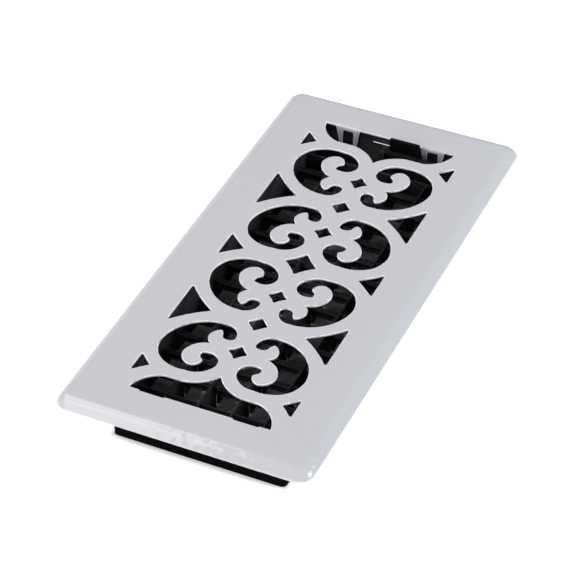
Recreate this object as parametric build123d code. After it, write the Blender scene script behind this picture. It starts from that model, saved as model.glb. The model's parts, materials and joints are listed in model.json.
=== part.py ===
from build123d import *
import os
from math import asin, cos, radians, sin, sqrt

os.makedirs("parts", exist_ok=True)

# A scrollwork floor register: a stamped steel faceplate with a rolled rim, latched by four bent
# tabs to a moulded damper box, whose louvre blades are ganged by a link bar to a thumb lever.
# Millimetres, +Z up, origin under the centre of the box foot, +Y towards the lever end.

# Faceplate
plate_length = 292.1
plate_width = 139.7
plate_corner = 8.5
plate_top = 33.2
sheet = 1.2
rim_run = 7.0
rim_drop = 4.6

# Damper box
box_length = 250.0
box_width = 96.0
box_wall = 2.0
box_corner = 3.0
column_count = 5
rib_thickness = 1.2
rib_drop = 15.7
cross_wall_thickness = 1.5
pocket_floor = 1.5
rebate_depth = 1.5

# Latches between plate and box
tab_centre = 25.7
tab_width = 14.2
tab_foot_width = 9.8
tab_drop = 14.5
tab_bend = 0.4
tab_gap = 0.3
window_width = 6.4
window_drop = 2.9
window_height = 9.6
hook_reach = 0.6
hook_gap = 0.4
hook_nose = 1.2

# Louvre blades and their linkage
blade_count = 14
blade_pitch = 15.36
blade_chord = 15.7
blade_thickness = 1.2
blade_drop = 22.6
open_tilt = 60.0
closed_tilt = 10.0
shaft_diameter = 3.0
journal_diameter = 2.4
journal_depth = 1.4
crank_radius = 6.0
crank_width = 4.4
crank_thickness = 1.6
pin_diameter = 2.4
link_thickness = 2.0
link_height = 5.0

# Thumb lever and its bearing
lever_drop = 7.0
lever_setback = 7.0
lever_shaft = 4.0
lever_hub = 6.0
thumb_centre = 10.5
thumb_tip_width = 18.0
thumb_root_width = 15.6
thumb_thickness = 2.0
thumb_corner = 1.2
thumb_rise = 3.5
thumb_lean = 10.0
lug_offset = 1.9
lug_thickness = 2.4
lug_margin = 1.8
snap_share = 0.8
guide_slot_offset = 6.0
guide_slot_width = 15.9
guide_slot_height = 1.95
guide_slot_drop = 6.2

# Running and side clearances
bore_gap = 0.05
side_gap = 0.5
slot_gap = 0.3
sweep_gap = 1.0

# Scrollwork: two mirrored pairs of scroll units on each side of the middle
pair_centre = 52.9
unit_offset = 23.8

# One scroll opening, measured from the centre line and its unit's star: each row is a point and
# the bow of the arc from it to the next one, positive to the left of the way.
scroll_outline = [
    (6.0, 14.4, 2.63),
    (18.9, 22.6, 2.11),
    (35.9, 17.4, 1.03),
    (40.2, 5.8, 3.08),
    (27.0, -14.4, 0.86),
    (14.9, -17.2, 2.93),
    (5.8, -9.0, 0.78),
    (9.0, -6.6, 0.77),
    (12.9, -8.8, -0.47),
    (15.0, -12.4, -1.09),
    (19.4, -6.2, -0.81),
    (16.0, -0.8, -2.42),
    (26.0, 9.6, -1.89),
    (19.5, 17.8, -1.66),
    (14.0, 12.3, 0.0),
    (15.7, 10.9, 0.57),
    (16.7, 7.0, 0.22),
    (13.9, 6.1, 3.29),
]

# End lunette, right half, from its cusp to its shoulder
lunette_cusp = 96.6
lunette_waist = (16.0, 107.1)
lunette_shoulder = (26.0, 107.2)
lunette_half_width = 38.8
cusp_bow = 2.1
shoulder_bow = -2.9

# Side triangles: tip, upright edge, half height, bow of the slanting sides, corner radius
pair_triangle = (26.2, 44.5, 15.6, 1.0, 0.7)
middle_triangle = (32.6, 44.3, 9.6, 0.3, 0.7)
corner_triangle = (36.4, 44.2, 7.2, 0.2, 0.7)
corner_triangle_centre = 102.9

# Diamonds on the centre line: half width, half length, bow of the sides, corner radius
middle_diamond = (9.3, 9.2, 0.6, 0.9)
pair_diamond = (5.7, 5.5, 0.15, 0.8)
unit_star = (6.0, 5.8, 0.65, 0.8)

# Levels and places that follow from the sizes above
plate_under = plate_top - sheet
inner_width = box_width - 2 * box_wall
inner_length = box_length - 2 * box_wall
inner_x = inner_width / 2
inner_y = inner_length / 2
column_pitch = inner_width / column_count
rib_places = [column_pitch * (i - (column_count - 2) / 2) for i in range(column_count - 1)]
rib_top = plate_top - rib_drop
lunette_edge = inner_y - tab_gap - sheet
bend_outer = tab_bend + sheet
blade_level = plate_top - blade_drop
blade_places = [blade_pitch * (i - (blade_count - 1) / 2) for i in range(blade_count)]
blade_sweep = blade_chord / 2
cross_wall_face = max(blade_places) + blade_sweep + sweep_gap
lever_level = plate_top - lever_drop
lever_place = inner_y - lever_setback
swing = open_tilt - closed_tilt
crank_angle = -swing / 2
pin_back = crank_radius * sin(radians(crank_angle))
pin_down = crank_radius * cos(radians(crank_angle))

# The linkage stack along X, inwards from the right wall
pin_end = inner_x - side_gap
link_right = pin_end - slot_gap
link_left = link_right - link_thickness
crank_right = link_left - side_gap
crank_left = crank_right - crank_thickness
last_paddle_end = crank_left - side_gap

# The lever's bearing stands to the left of the thumb piece
thumb_reach = (lever_drop + thumb_rise) / cos(radians(thumb_lean))
lug_nose = lever_shaft / 2 + bore_gap + lug_margin
lug_right = thumb_centre - thumb_tip_width / 2 - lug_offset
lug_left = lug_right - lug_thickness


def arc_face(rows):
    outline = Curve()
    for (x, y, bow), (next_x, next_y, _) in zip(rows, rows[1:] + rows[:1]):
        if bow:
            outline += SagittaArc((x, y), (next_x, next_y), bow)
        else:
            outline += Line((x, y), (next_x, next_y))
    return make_face(outline)


def four_ways(face):
    right = Sketch() + face + mirror(face, about=Plane.XZ)
    return right + mirror(right, about=Plane.YZ)


def ends(face):
    return Sketch() + face + mirror(face, about=Plane.XZ)


def sides(face):
    return Sketch() + face + mirror(face, about=Plane.YZ)


def triangle(size, y):
    tip, base, half, bow, corner = size
    rows = [(tip, y, -bow), (base, y + half, 0), (base, y - half, -bow)]
    face = arc_face(rows)
    return fillet(face.vertices(), corner)


def diamond(size, y):
    half_x, half_y, bow, corner = size
    rows = [(half_x, y, bow), (0, y + half_y, bow), (-half_x, y, bow), (0, y - half_y, bow)]
    face = arc_face(rows)
    return fillet(face.vertices(), corner)


def lunette():
    right = arc_face([
        (0, lunette_cusp, cusp_bow),
        (*lunette_waist, 0),
        (*lunette_shoulder, shoulder_bow),
        (lunette_half_width, lunette_edge, 0),
        (0, lunette_edge, 0),
    ])
    return sides(right)


def scrollwork():
    unit = Pos(0, unit_offset) * arc_face(scroll_outline)
    pair = Pos(0, pair_centre) * (unit + mirror(unit, about=Plane.XZ))
    openings = four_ways(pair)
    openings += four_ways(triangle(pair_triangle, pair_centre))
    openings += four_ways(triangle(corner_triangle, corner_triangle_centre))
    openings += sides(triangle(middle_triangle, 0))
    openings += diamond(middle_diamond, 0)
    openings += ends(diamond(pair_diamond, pair_centre))
    openings += ends(diamond(unit_star, pair_centre - unit_offset))
    openings += ends(diamond(unit_star, pair_centre + unit_offset))
    openings += ends(lunette())
    tab_root = Pos(tab_centre, lunette_edge + bend_outer / 2) * Rectangle(tab_width, bend_outer)
    return openings + four_ways(tab_root)


# The rolled rim: one bent section, run along the sides and turned round the corners
def rim_section():
    radius = (rim_run**2 + rim_drop**2) / (2 * rim_drop)
    inner = radius - sheet
    centre = plate_top - radius
    foot = plate_top - rim_drop
    inner_foot = sqrt(inner**2 - (foot - centre) ** 2)
    half_out = asin(rim_run / radius) / 2
    half_in = asin(inner_foot / inner) / 2
    outline = Curve() + [
        ThreePointArc(
            (0, plate_top),
            (radius * sin(half_out), centre + radius * cos(half_out)),
            (rim_run, foot),
        ),
        Line((rim_run, foot), (inner_foot, foot)),
        ThreePointArc(
            (inner_foot, foot),
            (inner * sin(half_in), centre + inner * cos(half_in)),
            (0, plate_under),
        ),
        Line((0, plate_under), (0, plate_top)),
    ]
    return make_face(outline)


def rim():
    section = rim_section()
    long_side = extrude(Plane.XZ * section, (plate_length - 2 * plate_corner) / 2, both=True)
    long_side = Pos(plate_width / 2 - rim_run, 0, 0) * long_side
    short_side = extrude(Plane.YZ * section, (plate_width - 2 * plate_corner) / 2, both=True)
    short_side = Pos(0, plate_length / 2 - rim_run, 0) * short_side
    turned = Plane.XZ * Pos(plate_corner - rim_run, 0) * section
    corner = revolve(turned, axis=Axis.Z, revolution_arc=90)
    corner = Pos(plate_width / 2 - plate_corner, plate_length / 2 - plate_corner, 0) * corner
    quarter = [long_side, short_side, corner]
    half = quarter + [mirror(piece, about=Plane.YZ) for piece in quarter[::2]]
    return half + [mirror(half[i], about=Plane.XZ) for i in (1, 2, 4)]


# A latch tab: bent down from the lunette's straight edge, tapered, with a window for the hook
def latch_tab():
    face = lunette_edge
    back = lunette_edge + sheet
    root = lunette_edge + bend_outer
    foot = plate_top - tab_drop
    bend_level = plate_top - bend_outer
    turn = sin(radians(45))
    outline = Curve() + [
        ThreePointArc(
            (root, plate_top),
            (root - bend_outer * turn, bend_level + bend_outer * turn),
            (face, bend_level),
        ),
        Line((face, bend_level), (face, foot)),
        Line((face, foot), (back, foot)),
        Line((back, foot), (back, bend_level)),
        ThreePointArc(
            (back, bend_level),
            (root - tab_bend * turn, bend_level + tab_bend * turn),
            (root, plate_under),
        ),
        Line((root, plate_under), (root, plate_top)),
    ]
    strip = Pos(tab_centre, 0, 0) * extrude(Plane.YZ * make_face(outline), tab_width / 2, both=True)
    taper = Polygon(
        (-tab_width / 2, plate_top),
        (tab_width / 2, plate_top),
        (tab_width / 2, bend_level),
        (tab_foot_width / 2, foot),
        (-tab_foot_width / 2, foot),
        (-tab_width / 2, bend_level),
        align=None,
    )
    window_level = plate_top - window_drop - window_height / 2
    taper -= Pos(0, window_level) * Rectangle(window_width, window_height)
    through = extrude(Plane.XZ * taper, plate_length, both=True)
    return strip & (Pos(tab_centre, 0, 0) * through)


def faceplate():
    field = RectangleRounded(
        plate_width - 2 * rim_run,
        plate_length - 2 * rim_run,
        plate_corner - rim_run,
    )
    plate = extrude(Pos(0, 0, plate_under) * (field - scrollwork()), sheet)
    tab = latch_tab()
    tabs = [tab, mirror(tab, about=Plane.YZ)]
    tabs += [mirror(piece, about=Plane.XZ) for piece in tabs]
    return plate + rim() + tabs


def rod(diameter, left, right, y, z):
    length = right - left
    return Pos((left + right) / 2, y, z) * Rot(0, 90, 0) * Cylinder(diameter / 2, length)


def slab(left, right, front, back, bottom, top):
    place = Pos((left + right) / 2, (front + back) / 2, (bottom + top) / 2)
    return place * Box(right - left, back - front, top - bottom)


# A hook stands on the end wall inside the tab's window, bearing on the window's lower edge
def hook():
    catch = plate_top - window_drop - window_height
    tip = lunette_edge - hook_reach
    profile = Polygon(
        (inner_y, catch),
        (tip, catch),
        (tip, catch + hook_nose),
        (inner_y, plate_top - window_drop - hook_gap),
        align=None,
    )
    half = window_width / 2 - hook_gap
    return Pos(tab_centre, 0, 0) * extrude(Plane.YZ * profile, half, both=True)


# The lever's snap bearing: a post on the pocket floor with a round seat open at the top
def lever_lug():
    lug = Pos(lever_place, lever_level) * Circle(lug_nose)
    lug += Pos(lever_place, lever_level / 2) * Rectangle(2 * lug_nose, lever_level)
    lug -= Pos(lever_place, lever_level) * Circle(lever_shaft / 2 + bore_gap)
    lug -= Pos(lever_place, lever_level + lug_nose) * Rectangle(lever_shaft * snap_share, 2 * lug_nose)
    return Pos(lug_left, 0, 0) * extrude(Plane.YZ * lug, lug_thickness)


# A long rib, with a round seat for each blade's shaft and a narrower neck to snap it in from below
def long_rib(x):
    side = Pos(0, rib_top / 2) * Rectangle(2 * cross_wall_face, rib_top)
    for place in blade_places:
        side -= Pos(place, blade_level) * Circle(shaft_diameter / 2 + slot_gap)
        side -= Pos(place, blade_level / 2) * Rectangle(shaft_diameter * snap_share, blade_level)
    return Pos(x, 0, 0) * extrude(Plane.YZ * side, rib_thickness / 2, both=True)


def damper_box():
    outer = RectangleRounded(box_width, box_length, box_corner)
    inner = RectangleRounded(inner_width, inner_length, box_corner - box_wall)
    box = extrude(outer - inner, plate_under)

    cross_back = cross_wall_face + cross_wall_thickness
    wall = slab(-inner_x, inner_x, cross_wall_face, cross_back, 0, rib_top)
    floor = slab(-inner_x, inner_x, cross_wall_face, inner_y, 0, pocket_floor)
    link_way = slab(crank_left - side_gap, inner_x, cross_wall_face, cross_back, pocket_floor, rib_top)
    box += [wall - link_way, floor]
    box += [mirror(wall, about=Plane.XZ), mirror(floor, about=Plane.XZ)]
    box += [long_rib(x) for x in rib_places]
    box += lever_lug()

    rebate = slab(-inner_x, inner_x, inner_y, inner_y + tab_bend, plate_under - rebate_depth, plate_under)
    box -= [rebate, mirror(rebate, about=Plane.XZ)]
    hooks = [hook(), mirror(hook(), about=Plane.YZ)]
    box += hooks + [mirror(piece, about=Plane.XZ) for piece in hooks]

    bore = journal_diameter + 2 * bore_gap
    for place in blade_places:
        box -= rod(bore, inner_x, box_width / 2, place, blade_level)
        box -= rod(bore, -box_width / 2, -inner_x, place, blade_level)
    box -= rod(lever_shaft + 2 * bore_gap, inner_x, box_width / 2, lever_place, lever_level)

    slot_right = thumb_centre - guide_slot_offset
    slot_top = plate_top - guide_slot_drop
    return box - slab(
        slot_right - guide_slot_width,
        slot_right,
        inner_y,
        box_length / 2,
        slot_top - guide_slot_height,
        slot_top,
    )


# A crank arm hanging from a pivot on its swing, with a pin that carries the link bar
def crank(y, z):
    middle = (y + pin_back / 2, z - pin_down / 2)
    arm = Pos(*middle) * Rot(0, 0, 90 + crank_angle) * SlotCenterToCenter(crank_radius, crank_width)
    arm = Pos(crank_left, 0, 0) * extrude(Plane.YZ * arm, crank_thickness)
    return arm + rod(pin_diameter, crank_left, pin_end, y + pin_back, z - pin_down)


# A blade: one shaft with a paddle in each column between the ribs
def blade():
    journal_end = inner_x + journal_depth
    shaft_end = inner_x - slot_gap
    body = rod(shaft_diameter, -shaft_end, shaft_end, 0, blade_level)
    body += rod(journal_diameter, -journal_end, journal_end, 0, blade_level)
    profile = Pos(0, blade_level) * Rot(0, 0, -open_tilt) * SlotOverall(blade_chord, blade_thickness)
    faces = [-inner_x + rib_thickness / 2] + rib_places + [last_paddle_end + side_gap + rib_thickness / 2]
    for left, right in zip(faces, faces[1:]):
        start = left + rib_thickness / 2 + side_gap
        end = right - rib_thickness / 2 - side_gap
        body += Pos(start, 0, 0) * extrude(Plane.YZ * profile, end - start)
    return body + crank(0, blade_level)


def link_bar():
    lever_pin = lever_place + pin_back
    pins = [(place + pin_back, blade_level - pin_down) for place in blade_places]
    first, last = pins[0], pins[-1]
    run = lever_pin - first[0]
    bar = Pos(first[0] + run / 2, first[1]) * SlotCenterToCenter(run, link_height)
    rise = lever_level - blade_level
    arm = Pos(lever_pin, last[1] + rise / 2) * Rot(0, 0, 90) * SlotCenterToCenter(rise, link_height)
    bar += arm
    for place in pins + [(lever_pin, lever_level - pin_down)]:
        bar -= Pos(*place) * Circle(pin_diameter / 2 + bore_gap)
    return Pos(link_left, 0, 0) * extrude(Plane.YZ * bar, link_thickness)


# The thumb piece, upright on its hub: round-edged in section and flared towards its tip
def thumb():
    crown = thumb_reach - thumb_thickness / 2
    section = Circle(lever_hub / 2) + Pos(0, crown / 2) * Rectangle(thumb_thickness, crown)
    section += Pos(0, crown) * Circle(thumb_thickness / 2)
    face = Polygon(
        (-thumb_root_width / 2, -lever_hub / 2),
        (thumb_root_width / 2, -lever_hub / 2),
        (thumb_root_width / 2, 0),
        (thumb_tip_width / 2, thumb_reach),
        (-thumb_tip_width / 2, thumb_reach),
        (-thumb_root_width / 2, 0),
        align=None,
    )
    face = fillet(face.vertices().sort_by(Axis.Y)[-2:], thumb_corner)
    strip = extrude(Plane.YZ * section, thumb_tip_width / 2, both=True)
    return strip & extrude(Plane.XZ * face, lever_hub, both=True)


# The thumb lever: a cross shaft with the thumb piece near the middle and a crank at the link bar
def thumb_lever():
    lever = rod(lever_shaft, lug_left, inner_x + journal_depth, lever_place, lever_level)
    lever += Pos(thumb_centre, lever_place, lever_level) * Rot(-thumb_lean, 0, 0) * thumb()
    return lever + crank(lever_place, lever_level)


export_step(faceplate(), "parts/faceplate.step")
export_step(damper_box(), "parts/damper_box.step")
export_step(link_bar(), "parts/link_bar.step")
export_step(thumb_lever(), "parts/thumb_lever.step")
louvre = blade()
for number, place in enumerate(blade_places, 1):
    export_step(Pos(0, place, 0) * louvre, f"parts/louvre_blade_{number:02d}.step")
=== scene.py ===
import json
from itertools import combinations
from math import cos, radians, sin
import bmesh
import bpy
from mathutils import Matrix, Quaternion, Vector
from mathutils.bvhtree import BVHTree

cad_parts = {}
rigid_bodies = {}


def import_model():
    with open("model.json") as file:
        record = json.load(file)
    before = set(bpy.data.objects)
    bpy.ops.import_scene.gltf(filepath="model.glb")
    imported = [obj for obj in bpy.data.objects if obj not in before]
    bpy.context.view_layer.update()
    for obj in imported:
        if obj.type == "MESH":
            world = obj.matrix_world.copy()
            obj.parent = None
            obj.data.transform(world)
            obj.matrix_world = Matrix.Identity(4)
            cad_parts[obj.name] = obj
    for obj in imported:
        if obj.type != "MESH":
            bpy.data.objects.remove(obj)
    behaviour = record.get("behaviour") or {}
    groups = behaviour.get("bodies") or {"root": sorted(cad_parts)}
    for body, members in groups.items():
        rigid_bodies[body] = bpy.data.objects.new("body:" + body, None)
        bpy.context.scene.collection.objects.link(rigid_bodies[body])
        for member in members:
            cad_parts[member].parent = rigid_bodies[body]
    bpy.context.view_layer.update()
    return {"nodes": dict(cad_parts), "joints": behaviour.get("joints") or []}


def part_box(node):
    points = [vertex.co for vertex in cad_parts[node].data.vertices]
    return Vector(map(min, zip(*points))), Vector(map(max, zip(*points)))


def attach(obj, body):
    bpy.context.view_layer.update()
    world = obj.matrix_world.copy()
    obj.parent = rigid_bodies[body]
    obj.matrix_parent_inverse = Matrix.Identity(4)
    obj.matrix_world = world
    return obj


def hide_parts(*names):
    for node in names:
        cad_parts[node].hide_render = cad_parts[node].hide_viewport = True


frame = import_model()
joints = {joint["name"]: joint for joint in frame["joints"]}
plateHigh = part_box("faceplate")[1]
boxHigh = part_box("damper_box")[1]
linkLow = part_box("link_bar")[0]
leverAxis = Vector(joints["lever_swing"]["pos_m"])
leverPin = Vector(joints["link_pivot"]["pos_m"])
lastBladeAxis = Vector(joints["louvre_blade_14_swing"]["pos_m"])
sceneObjects = bpy.context.scene.collection.objects


# Node helpers: a node with its inputs set by name, and a link between two sockets
def addNode(tree, kind, inputs=None, **settings):
    node = tree.nodes.new(kind)
    for name, value in settings.items():
        setattr(node, name, value)
    for name, value in (inputs or {}).items():
        node.inputs[name].default_value = value
    return node


def join(tree, source, target):
    tree.links.new(source, target)


def mathNode(tree, operation, first, second=None, third=None):
    node = addNode(tree, "ShaderNodeMath", operation=operation)
    for socket, value in zip(node.inputs, (first, second, third)):
        if value is None:
            continue
        if isinstance(value, (int, float)):
            socket.default_value = value
        else:
            join(tree, value, socket)
    return node.outputs[0]


def newTree(name, treeType, inputs, outputs):
    tree = bpy.data.node_groups.new(name, treeType)
    for label, kind, value in inputs:
        socket = tree.interface.new_socket(label, in_out="INPUT", socket_type=kind)
        if value is not None:
            socket.default_value = value
    for label, kind in outputs:
        tree.interface.new_socket(label, in_out="OUTPUT", socket_type=kind)
    return tree, tree.nodes.new("NodeGroupInput"), tree.nodes.new("NodeGroupOutput")


def placeGroup(tree, group, **values):
    inGeometry = tree.bl_idname == "GeometryNodeTree"
    node = tree.nodes.new("GeometryNodeGroup" if inGeometry else "ShaderNodeGroup")
    node.node_tree = group
    for name, value in values.items():
        node.inputs[name].default_value = value
    return node


# Shared surface effects, among them a painted highlight and painted light, each a group that is placed in
# a finish with its own values.
# A pair is where an effect starts and where it is whole.
effects = {
    "noiseMiddle": 0.5,
    "edgeBreak": (0.38, 0.62),         # of the noise that breaks up the edge strips' painted highlight and wear
    "settleSlope": (0.55, 0.95),      # of the normal's upward part, for dust that settles
    "speckRadius": (0.16, 0.06),      # of the distance to a speck's middle
    "filmPatchScale": 60.0,
    "paintedLightSlope": (0.1, -0.4),      # of the normal's upward part, for painted light most on the faces that look down
    "paintedLightLeast": 0.08,             # its share on the faces that don't look down
    "dustRoughening": 0.4,
}


# A value that goes from 0 to 1 between two places
def rampNode(tree, value, ends, **settings):
    ramp = addNode(tree, "ShaderNodeMapRange", {"From Min": ends[0], "From Max": ends[1]}, **settings)
    join(tree, value, ramp.inputs["Value"])
    return ramp


# Slow drift of tone over a surface, about 1
def makeToneDrift():
    tree, given, made = newTree(
        "toneDrift", "ShaderNodeTree",
        [("Scale", "NodeSocketFloat", 20.0), ("Spread", "NodeSocketFloat", 0.03)],
        [("Tone", "NodeSocketFloat")])
    place = addNode(tree, "ShaderNodeTexCoord")
    noise = addNode(tree, "ShaderNodeTexNoise", {"Detail": 2.0, "Roughness": 0.5})
    join(tree, place.outputs["Object"], noise.inputs["Vector"])
    join(tree, given.outputs["Scale"], noise.inputs["Scale"])
    centred = mathNode(tree, "SUBTRACT", noise.outputs["Fac"], effects["noiseMiddle"])
    drift = mathNode(tree, "MULTIPLY", centred, given.outputs["Spread"])
    join(tree, mathNode(tree, "ADD", drift, 1.0), made.inputs["Tone"])
    return tree


# Fine unevenness of a coat or a mould: two sizes of noise for a bump's height
def makeSkin():
    tree, given, made = newTree(
        "skin", "ShaderNodeTree",
        [("Coarse Scale", "NodeSocketFloat", 500.0), ("Fine Scale", "NodeSocketFloat", 2000.0),
         ("Fine Share", "NodeSocketFloat", 0.3)],
        [("Height", "NodeSocketFloat")])
    place = addNode(tree, "ShaderNodeTexCoord")
    heights = []
    for label, detail in (("Coarse Scale", 1.0), ("Fine Scale", 3.0)):
        noise = addNode(tree, "ShaderNodeTexNoise", {"Detail": detail, "Roughness": 0.55})
        join(tree, place.outputs["Object"], noise.inputs["Vector"])
        join(tree, given.outputs[label], noise.inputs["Scale"])
        heights.append(noise.outputs["Fac"])
    fine = mathNode(tree, "MULTIPLY", heights[1], given.outputs["Fine Share"])
    join(tree, mathNode(tree, "ADD", heights[0], fine), made.inputs["Height"])
    return tree


# Ripples of a sheet along its bent-down rim: none on the flat field inside it
def makeBendRipple():
    tree, given, made = newTree(
        "bendRipple", "ShaderNodeTree",
        [("Field Half Size", "NodeSocketVector", None), ("Fade", "NodeSocketFloat", 0.003),
         ("Scale", "NodeSocketFloat", 190.0)],
        [("Height", "NodeSocketFloat")])
    place = addNode(tree, "ShaderNodeTexCoord")
    size = addNode(tree, "ShaderNodeVectorMath", operation="ABSOLUTE")
    join(tree, place.outputs["Object"], size.inputs[0])
    past = addNode(tree, "ShaderNodeVectorMath", operation="SUBTRACT")
    join(tree, size.outputs["Vector"], past.inputs[0])
    join(tree, given.outputs["Field Half Size"], past.inputs[1])
    beyond = addNode(tree, "ShaderNodeSeparateXYZ")
    join(tree, past.outputs["Vector"], beyond.inputs["Vector"])
    bent = addNode(tree, "ShaderNodeMapRange")
    join(tree, mathNode(tree, "MAXIMUM", beyond.outputs["X"], beyond.outputs["Y"]), bent.inputs["Value"])
    join(tree, given.outputs["Fade"], bent.inputs["From Max"])
    noise = addNode(tree, "ShaderNodeTexNoise", {"Detail": 1.0, "Roughness": 0.55})
    join(tree, place.outputs["Object"], noise.inputs["Vector"])
    join(tree, given.outputs["Scale"], noise.inputs["Scale"])
    ripple = mathNode(tree, "MULTIPLY", noise.outputs["Fac"], bent.outputs["Result"])
    join(tree, ripple, made.inputs["Height"])
    return tree


# Edge strips: the mask of the rounded edge strips, broken up by noise, for a painted highlight on enamel
# and wear on moulding
def makeEdgeHighlightAndWear():
    tree, given, made = newTree(
        "edgeHighlightAndWear", "ShaderNodeTree",
        [("Break Scale", "NodeSocketFloat", 300.0), ("Amount", "NodeSocketFloat", 0.5)],
        [("Mask", "NodeSocketFloat")])
    strip = addNode(tree, "ShaderNodeAttribute", attribute_name="edgeStrip")
    place = addNode(tree, "ShaderNodeTexCoord")
    noise = addNode(tree, "ShaderNodeTexNoise", {"Detail": 3.0, "Roughness": 0.6})
    join(tree, place.outputs["Object"], noise.inputs["Vector"])
    join(tree, given.outputs["Break Scale"], noise.inputs["Scale"])
    broken = rampNode(tree, noise.outputs["Fac"], effects["edgeBreak"])
    markedStrip = mathNode(tree, "MULTIPLY", strip.outputs["Fac"], broken.outputs["Result"])
    join(tree, mathNode(tree, "MULTIPLY", markedStrip, given.outputs["Amount"]), made.inputs["Mask"])
    return tree


# Settled dust: specks and a thin film on what faces up
def makeDust():
    tree, given, made = newTree(
        "dust", "ShaderNodeTree",
        [("Film", "NodeSocketFloat", 0.05), ("Specks", "NodeSocketFloat", 0.3),
         ("Speck Scale", "NodeSocketFloat", 450.0)],
        [("Mask", "NodeSocketFloat")])
    place = addNode(tree, "ShaderNodeTexCoord")
    facing = addNode(tree, "ShaderNodeSeparateXYZ")
    join(tree, place.outputs["Normal"], facing.inputs["Vector"])
    upward = rampNode(tree, facing.outputs["Z"], effects["settleSlope"])
    cells = addNode(tree, "ShaderNodeTexVoronoi", {"Randomness": 1.0})
    join(tree, place.outputs["Object"], cells.inputs["Vector"])
    join(tree, given.outputs["Speck Scale"], cells.inputs["Scale"])
    speck = rampNode(tree, cells.outputs["Distance"], effects["speckRadius"])
    patches = addNode(tree, "ShaderNodeTexNoise", {"Scale": effects["filmPatchScale"], "Detail": 3.0})
    join(tree, place.outputs["Object"], patches.inputs["Vector"])
    specks = mathNode(tree, "MULTIPLY", speck.outputs["Result"], given.outputs["Specks"])
    film = mathNode(tree, "MULTIPLY", patches.outputs["Fac"], given.outputs["Film"])
    lying = mathNode(tree, "MULTIPLY", mathNode(tree, "MAXIMUM", specks, film), upward.outputs["Result"])
    join(tree, lying, made.inputs["Mask"])
    return tree


# Painted light: a patchy lightening of the faces inside a box-shaped room, most on those that look down
def makePaintedInnerLight():
    tree, given, made = newTree(
        "paintedInnerLight", "ShaderNodeTree",
        [("Centre", "NodeSocketVector", None), ("Half Size", "NodeSocketVector", None),
         ("Patch Scale", "NodeSocketFloat", 90.0), ("Amount", "NodeSocketFloat", 0.8)],
        [("Mask", "NodeSocketFloat")])
    place = addNode(tree, "ShaderNodeTexCoord")
    offset = addNode(tree, "ShaderNodeVectorMath", operation="SUBTRACT")
    join(tree, place.outputs["Object"], offset.inputs[0])
    join(tree, given.outputs["Centre"], offset.inputs[1])
    size = addNode(tree, "ShaderNodeVectorMath", operation="ABSOLUTE")
    join(tree, offset.outputs["Vector"], size.inputs[0])
    reach = addNode(tree, "ShaderNodeSeparateXYZ")
    join(tree, size.outputs["Vector"], reach.inputs["Vector"])
    room = addNode(tree, "ShaderNodeSeparateXYZ")
    join(tree, given.outputs["Half Size"], room.inputs["Vector"])
    inside = given.outputs["Amount"]
    for letter in "XYZ":
        within = mathNode(tree, "LESS_THAN", reach.outputs[letter], room.outputs[letter])
        inside = mathNode(tree, "MULTIPLY", inside, within)
    patches = addNode(tree, "ShaderNodeTexNoise", {"Detail": 3.0, "Roughness": 0.6})
    join(tree, place.outputs["Object"], patches.inputs["Vector"])
    join(tree, given.outputs["Patch Scale"], patches.inputs["Scale"])
    facing = addNode(tree, "ShaderNodeSeparateXYZ")
    join(tree, place.outputs["Normal"], facing.inputs["Vector"])
    downward = rampNode(tree, facing.outputs["Z"], effects["paintedLightSlope"])
    downward.inputs["To Min"].default_value = effects["paintedLightLeast"]
    uneven = mathNode(tree, "ADD", patches.outputs["Fac"], effects["noiseMiddle"])
    lightened = mathNode(tree, "MULTIPLY", uneven, downward.outputs["Result"])
    join(tree, mathNode(tree, "MULTIPLY", lightened, inside), made.inputs["Mask"])
    return tree


toneDrift = makeToneDrift()
skin = makeSkin()
edgeHighlightAndWear = makeEdgeHighlightAndWear()
dust = makeDust()
paintedInnerLight = makePaintedInnerLight()
bendRipple = makeBendRipple()
print("surface effects made")

enamel = {
    "colour": (0.555, 0.562, 0.587),
    "edgeColour": (0.93, 0.935, 0.95),   # painted highlight on the rounded edges
    "dustColour": (0.50, 0.49, 0.475),
    "roughness": 0.1,
    "roughnessSpread": 0.03,
    "specular": 0.5,
    "skinDepth": 0.00005,
    "rippleDepth": 0.00022,
}
moulding = {
    "colour": (0.0032, 0.0031, 0.0040),
    "edgeColour": (0.016, 0.016, 0.019),   # polished by handling
    "dustColour": (0.13, 0.13, 0.137),
    # painted light inside the box
    "paintedLightColour": (0.22, 0.21, 0.23),
    "roughness": 0.36,
    "roughnessSpread": 0.12,
    "specular": 0.025,
    "skinDepth": 0.000018,
}
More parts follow.
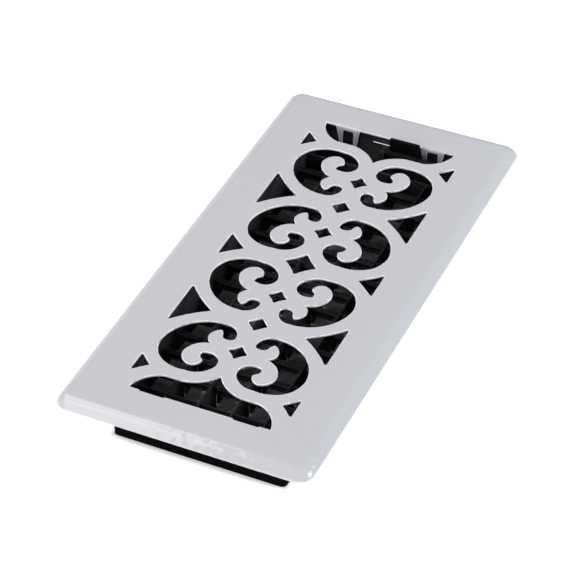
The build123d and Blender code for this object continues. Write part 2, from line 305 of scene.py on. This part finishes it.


# A finish from the shared effects: tone drift, edge highlight and wear, painted light, dust, skin,
# ripples
def makeFinish(name, look, tone, coat, edgeMarks, film, paintedLight=None, ripple=None):
    material = bpy.data.materials.new(name)
    material.use_nodes = True
    tree = material.node_tree
    shader = tree.nodes["Principled BSDF"]
    shader.inputs["Specular IOR Level"].default_value = look["specular"]
    toneNode = placeGroup(tree, toneDrift, **tone)
    skinNode = placeGroup(tree, skin, **coat)
    edgeMarkNode = placeGroup(tree, edgeHighlightAndWear, **edgeMarks)
    dustNode = placeGroup(tree, dust, **film)
    toned = addNode(tree, "ShaderNodeVectorMath", operation="SCALE")
    toned.inputs[0].default_value = look["colour"]
    join(tree, toneNode.outputs["Tone"], toned.inputs["Scale"])
    layers = [(edgeMarkNode, "edgeColour"), (dustNode, "dustColour")]
    # Painted light inside a box, where the finish has it
    if paintedLight:
        layers.insert(1, (placeGroup(tree, paintedInnerLight, **paintedLight), "paintedLightColour"))
    colour = toned.outputs["Vector"]
    for layer, label in layers:
        covered = addNode(tree, "ShaderNodeMix", data_type="RGBA")
        join(tree, layer.outputs["Mask"], covered.inputs["Factor"])
        join(tree, colour, covered.inputs["A"])
        covered.inputs["B"].default_value = (*look[label], 1)
        colour = covered.outputs["Result"]
    join(tree, colour, shader.inputs["Base Color"])
    uneven = mathNode(tree, "SUBTRACT", skinNode.outputs["Height"], effects["noiseMiddle"])
    rough = mathNode(tree, "MULTIPLY_ADD", uneven, look["roughnessSpread"], look["roughness"])
    dull = mathNode(tree, "MULTIPLY_ADD", dustNode.outputs["Mask"], effects["dustRoughening"], rough)
    join(tree, dull, shader.inputs["Roughness"])
    height = mathNode(tree, "MULTIPLY", skinNode.outputs["Height"], look["skinDepth"])
    if ripple:
        waves = placeGroup(tree, bendRipple, **ripple).outputs["Height"]
        height = mathNode(tree, "MULTIPLY_ADD", waves, look["rippleDepth"], height)
    bump = addNode(tree, "ShaderNodeBump", {"Strength": 1.0, "Distance": 1.0})
    join(tree, height, bump.inputs["Height"])
    join(tree, bump.outputs["Normal"], shader.inputs["Normal"])
    return material


rimWidth = 0.011   # the bent-down rim and the curve into it
fieldHalfSize = (plateHigh.x - rimWidth, plateHigh.y - rimWidth, 1.0)
whiteEnamel = makeFinish(
    "whiteEnamel", enamel,
    tone={"Scale": 14.0, "Spread": 0.03},
    coat={"Coarse Scale": 250.0, "Fine Scale": 900.0, "Fine Share": 0.05},
    # Painted highlight on the enamel's rounded edge strips
    edgeMarks={"Break Scale": 260.0, "Amount": 2.0},
    film={"Film": 0.01, "Specks": 0.0, "Speck Scale": 500.0},
    ripple={"Field Half Size": fieldHalfSize, "Fade": 0.003, "Scale": 200.0})

# The room inside the box, between its walls' inner faces, where the moulding gets painted light
wallThickness = 0.002
faceMargin = 0.0001   # takes in the inner faces themselves
wayMargin = faceMargin - wallThickness
boxInside = {"Centre": (0, 0, 0), "Half Size": (boxHigh.x + wayMargin, boxHigh.y + wayMargin, 1.0)}
mouldingWear = {
    "tone": {"Scale": 40.0, "Spread": 0.3},
    "coat": {"Coarse Scale": 1800.0, "Fine Scale": 6000.0, "Fine Share": 0.4},
    "edgeMarks": {"Break Scale": 400.0, "Amount": 0.8},
}
blackMoulding = makeFinish(
    "blackMoulding", moulding, **mouldingWear,
    film={"Film": 0.5, "Specks": 0.25, "Speck Scale": 420.0},
    # Inside the box its faces get painted light, most on those that look down
    paintedLight={"Patch Scale": 90.0, "Amount": 0.8, **boxInside})
# The lever's: less dust, kept clean by the thumb, and no painted light
handledMoulding = makeFinish(
    "handledMoulding", moulding, **mouldingWear,
    film={"Film": 0.14, "Specks": 0.25, "Speck Scale": 420.0})
print("finishes made")


# Turns an object with live modifiers into a plain mesh object
def settle(obj):
    evaluated = obj.evaluated_get(bpy.context.evaluated_depsgraph_get())
    mesh = bpy.data.meshes.new_from_object(evaluated)
    obj.modifiers.clear()
    obj.data = mesh
    mesh.name = obj.name
    return mesh


# A merged copy of a solid: its flat faces joined up, but cut by planes that open each ring into strips
def mergedCopy(source, look):
    work = bmesh.new()
    for vertex in source.vertices:
        work.verts.new(vertex.co)
    work.verts.ensure_lookup_table()
    for polygon in source.polygons:
        work.faces.new([work.verts[i] for i in polygon.vertices])
    bmesh.ops.remove_doubles(work, verts=work.verts, dist=look["mergeDistance"])
    for axis, place in look["cuts"]:
        along = Vector([float(letter == axis) for letter in "xyz"])
        whole = work.verts[:] + work.edges[:] + work.faces[:]
        cut = bmesh.ops.bisect_plane(work, geom=whole, dist=look["mergeDistance"],
                                     plane_co=along * place, plane_no=along)
        for item in cut["geom_cut"]:
            if isinstance(item, bmesh.types.BMEdge):
                item.seam = True
    bmesh.ops.dissolve_limit(work, angle_limit=radians(look["flatAngle"]),
                             verts=work.verts, edges=work.edges, delimit={"SEAM"})
    return work


# Marks the edges to round: the sharp ones, but none that closes into a cusp with another
def markEdges(work, look):
    weight = work.edges.layers.float.new("bevel_weight_edge")
    sharp = {edge for edge in work.edges
             if len(edge.link_faces) == 2 and edge.calc_face_angle() > radians(look["sharpAngle"])}
    for edge in sharp:
        edge[weight] = 1.0
    for corner in work.verts:
        meeting = [edge for edge in corner.link_edges if edge in sharp]
        ways = [(edge.other_vert(corner).co - corner.co).normalized() for edge in meeting]
        for (edge, way), (other, otherWay) in combinations(zip(meeting, ways), 2):
            if way.angle(otherWay) < radians(look["cuspAngle"]):
                edge[weight] = other[weight] = 0.0


# A finished copy of a solid with its sharp edges rounded
def roundedCopy(node, name, look):
    source = frame["nodes"][node].data
    work = mergedCopy(source, look)
    markEdges(work, look)
    mesh = bpy.data.meshes.new(name)
    work.to_mesh(mesh)
    work.free()
    mesh.shade_smooth()
    mesh.set_sharp_from_angle(angle=radians(look["sharpAngle"]))
    obj = bpy.data.objects.new(name, mesh)
    sceneObjects.link(obj)
    for material in (look["finish"], look["finish"]):
        mesh.materials.append(material)
    bevel = obj.modifiers.new("roundedEdges", "BEVEL")
    bevel.width = look["edgeRadius"]
    bevel.segments = look["edgeSteps"]
    bevel.limit_method = "WEIGHT"
    bevel.use_clamp_overlap = False
    bevel.miter_outer = "MITER_ARC"
    bevel.harden_normals = True
    bevel.material = 1
    mesh = settle(obj)
    strip = mesh.attributes.new("edgeStrip", "FLOAT", "FACE")
    strip.data.foreach_set("value", [float(polygon.material_index) for polygon in mesh.polygons])
    for polygon in mesh.polygons:
        polygon.material_index = 0
    mesh.materials.pop(index=1)
    surface = BVHTree.FromPolygons([v.co for v in source.vertices], [p.vertices for p in source.polygons])
    for vertex in mesh.vertices:
        nearest, _, _, distance = surface.find_nearest(vertex.co)
        if distance > look["edgeRadius"]:
            vertex.co = nearest
    return obj


def mount(obj, body, node):
    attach(obj, body)
    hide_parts(node)


# What every rounded copy shares, angles in degrees
copying = {"mergeDistance": 1e-6, "flatAngle": 0.5, "sharpAngle": 35.0, "cuspAngle": 30.0}

plate = {**copying, "finish": whiteEnamel, "edgeRadius": 0.00034, "edgeSteps": 3,
         "cuts": [("x", 0.0), ("y", 0.0)]}
mount(roundedCopy("faceplate", "stampedFaceplate", plate), "base", "faceplate")
print("faceplate made")

ribEnd = 0.00885   # from the last blade's axis to where the ribs meet the cross wall
crossWallFace = lastBladeAxis.y + ribEnd
case = {**copying, "finish": blackMoulding, "edgeRadius": 0.00018, "edgeSteps": 2,
        "cuts": [("x", 0.0), ("y", 0.0), ("y", crossWallFace), ("y", -crossWallFace),
                 ("z", lastBladeAxis.z), ("z", leverAxis.z)]}
mount(roundedCopy("damper_box", "mouldedDamperBox", case), "base", "damper_box")
print("damper box made")

linkage = {**copying, "finish": blackMoulding, "edgeRadius": 0.00015, "edgeSteps": 2,
           "cuts": [("y", leverAxis.y), ("z", leverAxis.z), ("y", leverPin.y), ("z", leverPin.z),
                    ("z", lastBladeAxis.z + leverPin.z - leverAxis.z)]}
lever = {**linkage, "finish": handledMoulding}
mount(roundedCopy("thumb_lever", "thumbLever", lever), "thumb_lever", "thumb_lever")
mount(roundedCopy("link_bar", "linkBar", linkage), "link_bar", "link_bar")
print("lever and link bar made")


# The louvre blades' sizes, angles in degrees
louvre = {
    "columns": 5,
    "ribThickness": 0.0012,
    "sideGap": 0.0005,
    "shaftGap": 0.0003,
    "chord": 0.0157,
    "thickness": 0.0012,
    "openTilt": 60.0,
    "shaftDiameter": 0.003,
    "journalDiameter": 0.0024,
    "crankRadius": 0.006,
    "crankWidth": 0.0044,
    "crankThickness": 0.0016,
    "crankAngle": -25.0,
    "pinDiameter": 0.0024,
    "smoothAngle": 35.0,
    "endSteps": 8,
    "rodSides": 32,
}


# A flat bar with round ends, from one side to the other along X, turned about X
def makeRoundBar():
    tree, given, made = newTree(
        "roundBar", "GeometryNodeTree",
        [("Length", "NodeSocketFloat", 0.0157), ("Width", "NodeSocketFloat", 0.0012),
         ("Left", "NodeSocketFloat", -0.5), ("Right", "NodeSocketFloat", 0.5),
         ("Turn", "NodeSocketFloat", 0.0), ("Centre", "NodeSocketVector", None)],
        [("Bar", "NodeSocketGeometry")])
    outline = addNode(tree, "GeometryNodeCurvePrimitiveQuadrilateral")
    join(tree, given.outputs["Length"], outline.inputs["Width"])
    join(tree, given.outputs["Width"], outline.inputs["Height"])
    rounded = addNode(tree, "GeometryNodeFilletCurve",
                      {"Count": louvre["endSteps"], "Limit Radius": True}, mode="POLY")
    join(tree, outline.outputs["Curve"], rounded.inputs["Curve"])
    join(tree, mathNode(tree, "MULTIPLY", given.outputs["Width"], 0.5), rounded.inputs["Radius"])
    run = addNode(tree, "GeometryNodeCurvePrimitiveLine")
    for label, end in (("Left", "Start"), ("Right", "End")):
        point = addNode(tree, "ShaderNodeCombineXYZ")
        join(tree, given.outputs[label], point.inputs["X"])
        join(tree, point.outputs["Vector"], run.inputs[end])
    swept = addNode(tree, "GeometryNodeCurveToMesh", {"Fill Caps": True})
    join(tree, run.outputs["Curve"], swept.inputs["Curve"])
    join(tree, rounded.outputs["Curve"], swept.inputs["Profile Curve"])
    merged = addNode(tree, "GeometryNodeMergeByDistance", {"Distance": copying["mergeDistance"]})
    join(tree, swept.outputs["Mesh"], merged.inputs["Geometry"])
    turn = addNode(tree, "ShaderNodeCombineXYZ")
    join(tree, given.outputs["Turn"], turn.inputs["X"])
    placed = addNode(tree, "GeometryNodeTransform")
    join(tree, merged.outputs["Geometry"], placed.inputs["Geometry"])
    join(tree, turn.outputs["Vector"], placed.inputs["Rotation"])
    join(tree, given.outputs["Centre"], placed.inputs["Translation"])
    join(tree, placed.outputs["Geometry"], made.inputs["Bar"])
    return tree


# A round rod along X between two places
def makeRoundRod():
    tree, given, made = newTree(
        "roundRod", "GeometryNodeTree",
        [("Diameter", "NodeSocketFloat", 0.003), ("Left", "NodeSocketFloat", -0.5),
         ("Right", "NodeSocketFloat", 0.5), ("Centre", "NodeSocketVector", None)],
        [("Rod", "NodeSocketGeometry")])
    rod = addNode(tree, "GeometryNodeMeshCylinder", {"Vertices": louvre["rodSides"]}, fill_type="NGON")
    join(tree, mathNode(tree, "MULTIPLY", given.outputs["Diameter"], 0.5), rod.inputs["Radius"])
    depth = mathNode(tree, "SUBTRACT", given.outputs["Right"], given.outputs["Left"])
    join(tree, depth, rod.inputs["Depth"])
    middle = addNode(tree, "ShaderNodeCombineXYZ")
    ends = mathNode(tree, "ADD", given.outputs["Left"], given.outputs["Right"])
    join(tree, mathNode(tree, "MULTIPLY", ends, 0.5), middle.inputs["X"])
    place = addNode(tree, "ShaderNodeVectorMath", operation="ADD")
    join(tree, middle.outputs["Vector"], place.inputs[0])
    join(tree, given.outputs["Centre"], place.inputs[1])
    laid = addNode(tree, "GeometryNodeTransform", {"Rotation": (0, radians(90), 0)})
    join(tree, rod.outputs["Mesh"], laid.inputs["Geometry"])
    join(tree, place.outputs["Vector"], laid.inputs["Translation"])
    join(tree, laid.outputs["Geometry"], made.inputs["Rod"])
    return tree


# One louvre blade: paddles in the columns between the ribs, on a shaft with a crank and its pin
def makeLouvreTree(bar, rod, finish):
    sizes = ["Column Pitch", "Column Start", "First Start", "Last End", "Side Room", "Chord", "Thickness",
             "Tilt", "Shaft Diameter", "Shaft End", "Journal Diameter", "Journal End", "Crank Left",
             "Crank Right", "Crank Length", "Crank Width", "Crank Turn", "Pin Diameter", "Pin End",
             "Smooth Angle"]
    tree, given, made = newTree(
        "louvreBlade", "GeometryNodeTree",
        [("Columns", "NodeSocketInt", 5)] + [(name, "NodeSocketFloat", 0.0) for name in sizes]
        + [(name, "NodeSocketVector", None) for name in ("Axis", "Crank Centre", "Pin Centre")],
        [("Blade", "NodeSocketGeometry")])

    def piece(group, links):
        node = placeGroup(tree, group)
        for name, source in links.items():
            join(tree, source, node.inputs[name])
        return node.outputs[0]

    # The columns: where each paddle starts and ends
    index = addNode(tree, "GeometryNodeInputIndex").outputs["Index"]
    pitch = given.outputs["Column Pitch"]
    columnLeft = mathNode(tree, "MULTIPLY_ADD", index, pitch, given.outputs["Column Start"])
    columnRight = mathNode(tree, "ADD", columnLeft, pitch)
    start = mathNode(tree, "ADD", columnLeft, given.outputs["Side Room"])
    start = mathNode(tree, "MAXIMUM", start, given.outputs["First Start"])
    end = mathNode(tree, "SUBTRACT", columnRight, given.outputs["Side Room"])
    end = mathNode(tree, "MINIMUM", end, given.outputs["Last End"])
    middle = mathNode(tree, "MULTIPLY", mathNode(tree, "ADD", start, end), 0.5)
    along = addNode(tree, "ShaderNodeCombineXYZ")
    join(tree, middle, along.inputs["X"])
    onAxis = addNode(tree, "ShaderNodeVectorMath", operation="ADD")
    join(tree, along.outputs["Vector"], onAxis.inputs[0])
    join(tree, given.outputs["Axis"], onAxis.inputs[1])
    stretch = addNode(tree, "ShaderNodeCombineXYZ", {"Y": 1.0, "Z": 1.0})
    join(tree, mathNode(tree, "SUBTRACT", end, start), stretch.inputs["X"])

    columns = addNode(tree, "GeometryNodePoints")
    join(tree, given.outputs["Columns"], columns.inputs["Count"])
    join(tree, onAxis.outputs["Vector"], columns.inputs["Position"])
    paddle = piece(bar, {"Length": given.outputs["Chord"], "Width": given.outputs["Thickness"],
                         "Turn": given.outputs["Tilt"]})
    paddles = addNode(tree, "GeometryNodeInstanceOnPoints")
    join(tree, columns.outputs["Points"], paddles.inputs["Points"])
    join(tree, paddle, paddles.inputs["Instance"])
    join(tree, stretch.outputs["Vector"], paddles.inputs["Scale"])
    realPaddles = addNode(tree, "GeometryNodeRealizeInstances")
    join(tree, paddles.outputs["Instances"], realPaddles.inputs["Geometry"])

    axis = given.outputs["Axis"]
    shaftStart = mathNode(tree, "MULTIPLY", given.outputs["Shaft End"], -1.0)
    journalStart = mathNode(tree, "MULTIPLY", given.outputs["Journal End"], -1.0)
    shaft = piece(rod, {"Diameter": given.outputs["Shaft Diameter"], "Left": shaftStart,
                        "Right": given.outputs["Shaft End"], "Centre": axis})
    journals = piece(rod, {"Diameter": given.outputs["Journal Diameter"], "Left": journalStart,
                           "Right": given.outputs["Journal End"], "Centre": axis})
    crank = piece(bar, {"Length": given.outputs["Crank Length"], "Width": given.outputs["Crank Width"],
                        "Left": given.outputs["Crank Left"], "Right": given.outputs["Crank Right"],
                        "Turn": given.outputs["Crank Turn"], "Centre": given.outputs["Crank Centre"]})
    pin = piece(rod, {"Diameter": given.outputs["Pin Diameter"], "Left": given.outputs["Crank Left"],
                      "Right": given.outputs["Pin End"], "Centre": given.outputs["Pin Centre"]})

    # One moulding of all of them, with smooth rounds and sharp corners
    whole = addNode(tree, "GeometryNodeMeshBoolean", operation="UNION", solver="EXACT")
    for part in (realPaddles.outputs["Geometry"], shaft, journals, crank, pin):
        join(tree, part, whole.inputs["Mesh 2"])
    smooth = addNode(tree, "GeometryNodeSetShadeSmooth", domain="FACE")
    join(tree, whole.outputs["Mesh"], smooth.inputs["Geometry"])
    angle = addNode(tree, "GeometryNodeInputMeshEdgeAngle")
    gentle = addNode(tree, "FunctionNodeCompare", data_type="FLOAT", operation="LESS_THAN")
    join(tree, angle.outputs["Unsigned Angle"], gentle.inputs["A"])
    join(tree, given.outputs["Smooth Angle"], gentle.inputs["B"])
    corners = addNode(tree, "GeometryNodeSetShadeSmooth", domain="EDGE")
    join(tree, smooth.outputs["Geometry"], corners.inputs["Geometry"])
    join(tree, gentle.outputs["Result"], corners.inputs["Shade Smooth"])
    real = addNode(tree, "GeometryNodeRealizeInstances")
    join(tree, corners.outputs["Geometry"], real.inputs["Geometry"])
    painted = addNode(tree, "GeometryNodeSetMaterial", {"Material": finish})
    join(tree, real.outputs["Geometry"], painted.inputs["Geometry"])
    join(tree, painted.outputs["Geometry"], made.inputs["Blade"])
    return tree


def louvreSizes(axis):
    inner = boxHigh.x - wallThickness
    room = louvre["ribThickness"] / 2 + louvre["sideGap"]
    crankRight = linkLow.x - louvre["sideGap"]
    crankLeft = crankRight - louvre["crankThickness"]
    swing = radians(louvre["crankAngle"])
    pin = axis + Vector((0, sin(swing), -cos(swing))) * louvre["crankRadius"]
    return {
        "Columns": louvre["columns"],
        "Column Pitch": 2 * inner / louvre["columns"],
        "Column Start": -inner,
        "First Start": -inner + louvre["ribThickness"] / 2 + room,
        "Last End": crankLeft - louvre["sideGap"],
        "Side Room": room,
        "Chord": louvre["chord"],
        "Thickness": louvre["thickness"],
        "Tilt": -radians(louvre["openTilt"]),
        "Shaft Diameter": louvre["shaftDiameter"],
        "Shaft End": inner - louvre["shaftGap"],
        "Journal Diameter": louvre["journalDiameter"],
        "Journal End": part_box("louvre_blade_01")[1].x,
        "Crank Left": crankLeft,
        "Crank Right": crankRight,
        "Crank Length": louvre["crankRadius"] + louvre["crankWidth"],
        "Crank Width": louvre["crankWidth"],
        "Crank Turn": radians(90) + swing,
        "Pin Diameter": louvre["pinDiameter"],
        "Pin End": inner - louvre["sideGap"],
        "Smooth Angle": radians(louvre["smoothAngle"]),
        "Axis": axis,
        "Crank Centre": (axis + pin) / 2,
        "Pin Centre": pin,
    }


louvreTree = makeLouvreTree(makeRoundBar(), makeRoundRod(), blackMoulding)
sockets = {item.name: item.identifier for item in louvreTree.interface.items_tree
           if item.in_out == "INPUT"}
blades = sorted(node for node in frame["nodes"] if node.startswith("louvre_blade_"))
for node in blades:
    axis = Vector(joints[node + "_swing"]["pos_m"])
    obj = bpy.data.objects.new("louvreBlade" + node[-2:], bpy.data.meshes.new(node))
    sceneObjects.link(obj)
    modifier = obj.modifiers.new("louvre", "NODES")
    modifier.node_group = louvreTree
    for name, value in louvreSizes(axis).items():
        modifier[sockets[name]] = value
    settle(obj)
    mount(obj, node, node)
print("louvre blades made:", len(blades))

# Camera: aimed at the middle of the plate's top, then slid in its own plane
shot = {
    "azimuth": 25.0,
    "elevation": 39.99,
    "roll": -0.65,
    "distance": 1.2606,
    "slideRight": -0.0067,
    "slideUp": -0.01265,
    "lens": 149.7,
    "sensor": 36.0,
    "clip": (0.05, 50.0),
}


def makeCamera():
    across, above = radians(shot["azimuth"]), radians(shot["elevation"])
    back = Vector((sin(across) * cos(above), -cos(across) * cos(above), sin(above)))
    turn = (-back).to_track_quat("-Z", "Y") @ Quaternion((0, 0, 1), radians(shot["roll"]))
    aim = Vector((0, 0, plateHigh.z))
    aim += turn @ Vector((shot["slideRight"], shot["slideUp"], 0))
    data = bpy.data.cameras.new("photoCamera")
    data.lens = shot["lens"]
    data.sensor_width = shot["sensor"]
    data.clip_start, data.clip_end = shot["clip"]
    camera = bpy.data.objects.new("photoCamera", data)
    camera.rotation_mode = "QUATERNION"
    camera.rotation_quaternion = turn
    camera.location = aim + back * shot["distance"]
    sceneObjects.link(camera)
    bpy.context.scene.camera = camera


makeCamera()
print("camera set")

# Studio: a pale sky, soft lamps aimed at the register, and a white floor
studio = {
    "skyColour": (0.94, 0.965, 1.0),
    "skyLevel": 0.19,
    "lamps": {
        "topSoftbox": {"place": (-1.05, 0.123, 1.41), "size": (1.12, 1.47), "radiance": 2.6,
                       "colour": (1.0, 0.995, 0.985)},
        "frontSoftbox": {"place": (-0.82, -1.18, 0.955), "size": (0.6, 2.38), "radiance": 2.4,
                         "colour": (1.0, 0.995, 0.985)},
        "leftSoftbox": {"place": (-1.05, 0.9, 0.3), "size": (0.6, 0.6), "radiance": 0.6,
                        "colour": (1.0, 1.0, 1.0)},
        "lowSoftbox": {"place": (0.3, -1.7, 0.35), "size": (1.6, 0.6), "radiance": 2.3,
                       "colour": (1.0, 0.995, 0.985)},
        "rightSoftbox": {"place": (1.25, 0.3, 0.6), "size": (0.8, 0.8), "radiance": 6.0,
                         "colour": (0.95, 0.97, 1.0)},
    },
    "floorHalf": 3.0,
    "floorColour": (0.93, 0.93, 0.93),
    "floorRoughness": 0.9,
    "glowBeside": 0.3,   # lift of the ground to white, close to the box and away from it
    "glowAway": 0.9,
    "glowReach": 0.005,
    "shadeBehind": (0.065, 0.032),   # behind the box: where its shadow starts and where it is whole
    "shadeBeside": (0.012, -0.015),  # the same past the box's sides
}


# White to the camera, pale and plain to everything else
def makeSky():
    sky = bpy.data.worlds.new("studioSky")
    bpy.context.scene.world = sky
    sky.use_nodes = True
    tree = sky.node_tree
    light = tree.nodes["Background"]
    light.inputs["Color"].default_value = (*studio["skyColour"], 1)
    light.inputs["Strength"].default_value = studio["skyLevel"]
    ground = addNode(tree, "ShaderNodeBackground", {"Color": (1, 1, 1, 1), "Strength": 1.0})
    path = addNode(tree, "ShaderNodeLightPath")
    mixed = addNode(tree, "ShaderNodeMixShader")
    join(tree, path.outputs["Is Camera Ray"], mixed.inputs["Fac"])
    join(tree, light.outputs["Background"], mixed.inputs[1])
    join(tree, ground.outputs["Background"], mixed.inputs[2])
    join(tree, mixed.outputs["Shader"], tree.nodes["World Output"].inputs["Surface"])


# An area lamp's radiance is its power over its area and this factor
lampFactor = 4


def makeLamps():
    for name, lamp in studio["lamps"].items():
        data = bpy.data.lights.new(name, "AREA")
        data.shape = "RECTANGLE"
        data.size, data.size_y = lamp["size"]
        data.energy = lampFactor * data.size * data.size_y * lamp["radiance"]
        data.color = lamp["colour"]
        obj = bpy.data.objects.new(name, data)
        obj.location = lamp["place"]
        obj.rotation_mode = "QUATERNION"
        back = Vector(lamp["place"]).normalized()
        up = back.cross(Vector((-1, 0, 0))).normalized()
        obj.rotation_quaternion = Matrix((up.cross(back), up, back)).transposed().to_quaternion()
        sceneObjects.link(obj)


# The floor's paint: plain white, lifted to full white for the camera except under the box and in the
# shadow behind it
def makeFloorPaint():
    paint = bpy.data.materials.new("floorPaint")
    paint.use_nodes = True
    tree = paint.node_tree
    shader = tree.nodes["Principled BSDF"]
    shader.inputs["Base Color"].default_value = (*studio["floorColour"], 1)
    shader.inputs["Roughness"].default_value = studio["floorRoughness"]
    shader.inputs["Specular IOR Level"].default_value = 0.0
    place = addNode(tree, "ShaderNodeTexCoord")
    size = addNode(tree, "ShaderNodeVectorMath", operation="ABSOLUTE")
    join(tree, place.outputs["Object"], size.inputs[0])
    past = addNode(tree, "ShaderNodeVectorMath", operation="SUBTRACT")
    join(tree, size.outputs["Vector"], past.inputs[0])
    past.inputs[1].default_value = (boxHigh.x, boxHigh.y, 0)
    outside = addNode(tree, "ShaderNodeVectorMath", operation="MAXIMUM")
    join(tree, past.outputs["Vector"], outside.inputs[0])
    outside.inputs[1].default_value = (0, 0, 0)
    away = addNode(tree, "ShaderNodeVectorMath", operation="LENGTH")
    join(tree, outside.outputs["Vector"], away.inputs[0])
    beside = mathNode(tree, "GREATER_THAN", away.outputs["Value"], 0.0)
    reach = (0.0, studio["glowReach"])
    lift = rampNode(tree, away.outputs["Value"], reach, interpolation_type="SMOOTHSTEP")
    lift.inputs["To Min"].default_value = studio["glowBeside"]
    lift.inputs["To Max"].default_value = studio["glowAway"]

    # The shadow straight behind the box
    sides = addNode(tree, "ShaderNodeSeparateXYZ")
    join(tree, place.outputs["Object"], sides.inputs["Vector"])
    beyond = addNode(tree, "ShaderNodeSeparateXYZ")
    join(tree, past.outputs["Vector"], beyond.inputs["Vector"])
    behind = mathNode(tree, "SUBTRACT", sides.outputs["Y"], boxHigh.y)
    shade = mathNode(tree, "GREATER_THAN", behind, 0.0)
    for value, ends in ((behind, studio["shadeBehind"]), (beyond.outputs["X"], studio["shadeBeside"])):
        near = rampNode(tree, value, ends, interpolation_type="SMOOTHSTEP")
        shade = mathNode(tree, "MULTIPLY", shade, near.outputs["Result"])
    clear = mathNode(tree, "SUBTRACT", 1.0, shade)

    lifted = mathNode(tree, "MULTIPLY", lift.outputs["Result"], mathNode(tree, "MULTIPLY", beside, clear))
    path = addNode(tree, "ShaderNodeLightPath")
    seen = mathNode(tree, "MAXIMUM", path.outputs["Is Camera Ray"], path.outputs["Is Transmission Ray"])
    glow = addNode(tree, "ShaderNodeEmission", {"Color": (1, 1, 1, 1)})
    join(tree, mathNode(tree, "MULTIPLY", seen, lifted), glow.inputs["Strength"])
    both = addNode(tree, "ShaderNodeAddShader")
    join(tree, shader.outputs["BSDF"], both.inputs[0])
    join(tree, glow.outputs["Emission"], both.inputs[1])
    join(tree, both.outputs["Shader"], tree.nodes["Material Output"].inputs["Surface"])
    return paint


def makeFloor():
    half = studio["floorHalf"]
    mesh = bpy.data.meshes.new("floor")
    corners = [(-half, -half, 0), (half, -half, 0), (half, half, 0), (-half, half, 0)]
    mesh.from_pydata(corners, [], [(0, 1, 2, 3)])
    mesh.materials.append(makeFloorPaint())
    floor = bpy.data.objects.new("floor", mesh)
    sceneObjects.link(floor)


makeSky()
makeLamps()
makeFloor()
bpy.context.scene.view_settings.view_transform = "Standard"
print("studio lit")
